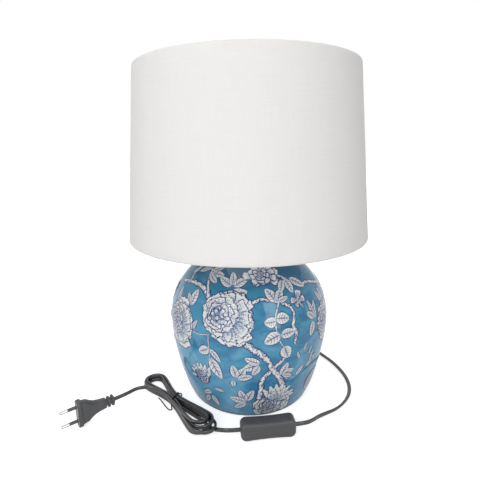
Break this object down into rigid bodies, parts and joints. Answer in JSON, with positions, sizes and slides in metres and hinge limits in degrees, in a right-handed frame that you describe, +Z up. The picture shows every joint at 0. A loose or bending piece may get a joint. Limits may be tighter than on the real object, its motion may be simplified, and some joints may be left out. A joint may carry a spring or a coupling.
{
  "type": "table lamp",
  "caption": "Table lamp with a bulging glazed jar foot, a tapered drum shade on a threaded lampholder and a switched mains cord with plug.",
  "frame": {"origin": "centre of the felt's underside, on the table", "axes": "+Z up along the lamp's axis, -Y towards the viewer of the picture, +X to the viewer's right"},
  "size_m": [0.3733, 0.3015, 0.4152],
  "materials": {
    "felt": "matt needle felt",
    "jar_glaze": "gloss glaze over brushed blue",
    "rubber": "matt",
    "zinc_steel": "zinc plated",
    "brass_satin": "satin",
    "holder_plastic": "moulded, semi gloss",
    "porcelain": "unglazed",
    "brass_contact": "bright",
    "shade_cloth": "fine plain weave",
    "liner_film": "matt styrene film",
    "white_wire": "white powder coat",
    "cord_black": "satin flexible sheath",
    "switch_black": "fine eroded satin",
    "tie_black": "coated wire",
    "plug_black": "satin moulding",
    "plug_face_grey": "satin",
    "pin_nickel": "nickel plated"
  },
  "bodies": {
    "root": {"felt_base": "felt", "jar_body": "jar_glaze", "rubber_washer": "rubber", "base_washer": "zinc_steel", "base_nut": "zinc_steel", "centre_rod": "zinc_steel", "cap_gasket": "rubber", "vase_cap": "brass_satin", "neck_sleeve": "brass_satin", "rod_lock_nut": "zinc_steel", "holder_cap": "holder_plastic", "holder_body": "holder_plastic", "holder_insert": "porcelain", "screw_shell": "brass_contact", "centre_contact": "brass_contact", "side_contact": "brass_contact", "terminal_screws": "brass_contact", "cord_grip": "holder_plastic", "cord_grommet": "cord_black", "inner_cord": "cord_black", "cord_lamp_side": "cord_black", "switch_base": "switch_black", "switch_cover": "switch_black", "rocker_pin": "zinc_steel", "switch_contacts": "brass_contact", "cord_switch_side": "cord_black", "cord_hank": "cord_black", "cord_tie": "tie_black", "cord_plug_side": "cord_black", "plug_body": "plug_black", "plug_insert": "plug_face_grey", "plug_pins": "pin_nickel", "pin_sleeves": "plug_black"},
    "shade": {"shade_fabric": "shade_cloth", "shade_liner": "liner_film", "top_ring": "white_wire", "bottom_ring": "white_wire", "fitter_arms": "white_wire", "fitter_ring": "white_wire"},
    "collar": {"shade_ring": "holder_plastic"},
    "rocker": {"switch_rocker": "switch_black"}
  },
  "joints": [
    {"name": "shade_swivel", "type": "hinge", "parent": "root", "child": "shade", "pos_m": [0, 0, 0.2546], "axis": [0, 0, 1], "continuous": true},
    {"name": "collar_turn", "type": "hinge", "parent": "root", "child": "collar", "pos_m": [0, 0, 0.2617], "axis": [0, 0, 1], "range_deg": [0, 1080]},
    {"name": "switch_rock", "type": "hinge", "parent": "root", "child": "rocker", "pos_m": [0.01788, -0.11023, 0.0119], "axis": [0, 0, 1], "range_deg": [-14, 0]}
  ]
}
